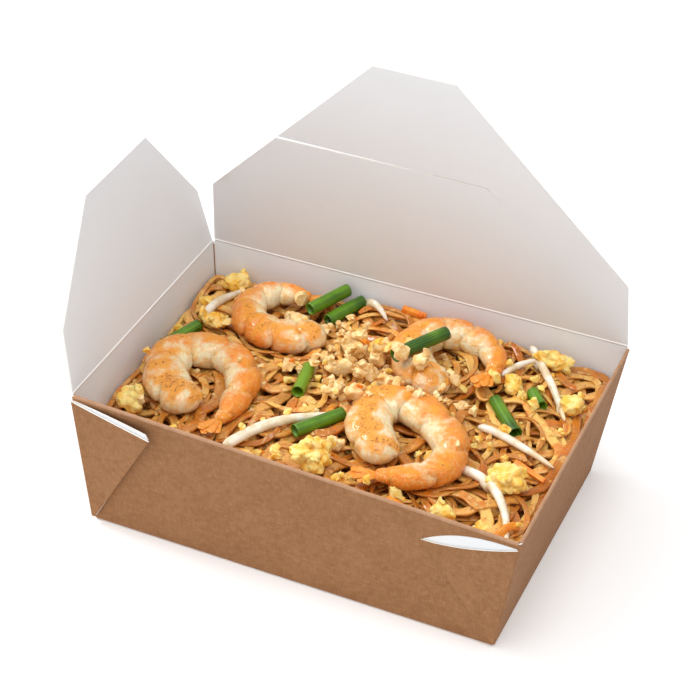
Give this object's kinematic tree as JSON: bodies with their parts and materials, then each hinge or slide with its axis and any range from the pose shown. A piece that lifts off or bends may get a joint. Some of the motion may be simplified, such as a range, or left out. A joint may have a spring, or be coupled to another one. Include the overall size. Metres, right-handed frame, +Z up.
{
  "type": "noodle takeaway box",
  "caption": "Fold-top kraft takeaway carton of stir-fried rice noodles with prawns, scallion, egg and chopped peanuts; its back and left flaps hinge at the rim.",
  "frame": {"origin": "middle of the carton's base, on its underside", "axes": "+X along the long side away from the open left flap, +Y towards the tall back flap, +Z up"},
  "size_m": [0.2342, 0.1539, 0.2012],
  "materials": {
    "kraft_board": "matte",
    "white_board": "matte",
    "rice_noodle": "satin",
    "prawn_flesh": "satin",
    "fried_egg": "satin",
    "scallion_green": "satin",
    "roasted_peanut": "matte"
  },
  "bodies": {
    "box": {"carton": "kraft_board", "noodle_heap": "rice_noodle", "prawn_left": "prawn_flesh", "prawn_front": "prawn_flesh", "prawn_right": "prawn_flesh", "prawn_back": "prawn_flesh", "egg_left": "fried_egg", "egg_corner": "fried_egg", "egg_back": "fried_egg", "egg_front": "fried_egg", "egg_right": "fried_egg", "egg_back_right": "fried_egg", "egg_middle_right": "fried_egg", "egg_side": "fried_egg", "egg_rim": "fried_egg", "scallion_left": "scallion_green", "scallion_back_a": "scallion_green", "scallion_back_b": "scallion_green", "scallion_right": "scallion_green", "scallion_middle": "scallion_green", "scallion_front": "scallion_green", "scallion_side": "scallion_green", "scallion_small": "scallion_green", "peanut_1": "roasted_peanut", "peanut_2": "roasted_peanut", "peanut_3": "roasted_peanut", "peanut_4": "roasted_peanut", "peanut_5": "roasted_peanut", "peanut_6": "roasted_peanut", "peanut_7": "roasted_peanut", "peanut_8": "roasted_peanut", "peanut_9": "roasted_peanut", "peanut_10": "roasted_peanut"},
    "back_flap": {"back_flap": "white_board"},
    "left_flap": {"left_flap": "white_board"}
  },
  "joints": [
    {"name": "back_flap_fold", "type": "hinge", "parent": "box", "child": "back_flap", "pos_m": [-0.10768, 0.07453, 0.06852], "axis": [0.9996, 0.0021, 0.0279], "range_deg": [-98, 70]},
    {"name": "left_flap_fold", "type": "hinge", "parent": "box", "child": "left_flap", "pos_m": [-0.1081, -0.07522, 0.07374], "axis": [0.004, 0.9992, -0.0395], "range_deg": [-77, 103]}
  ]
}
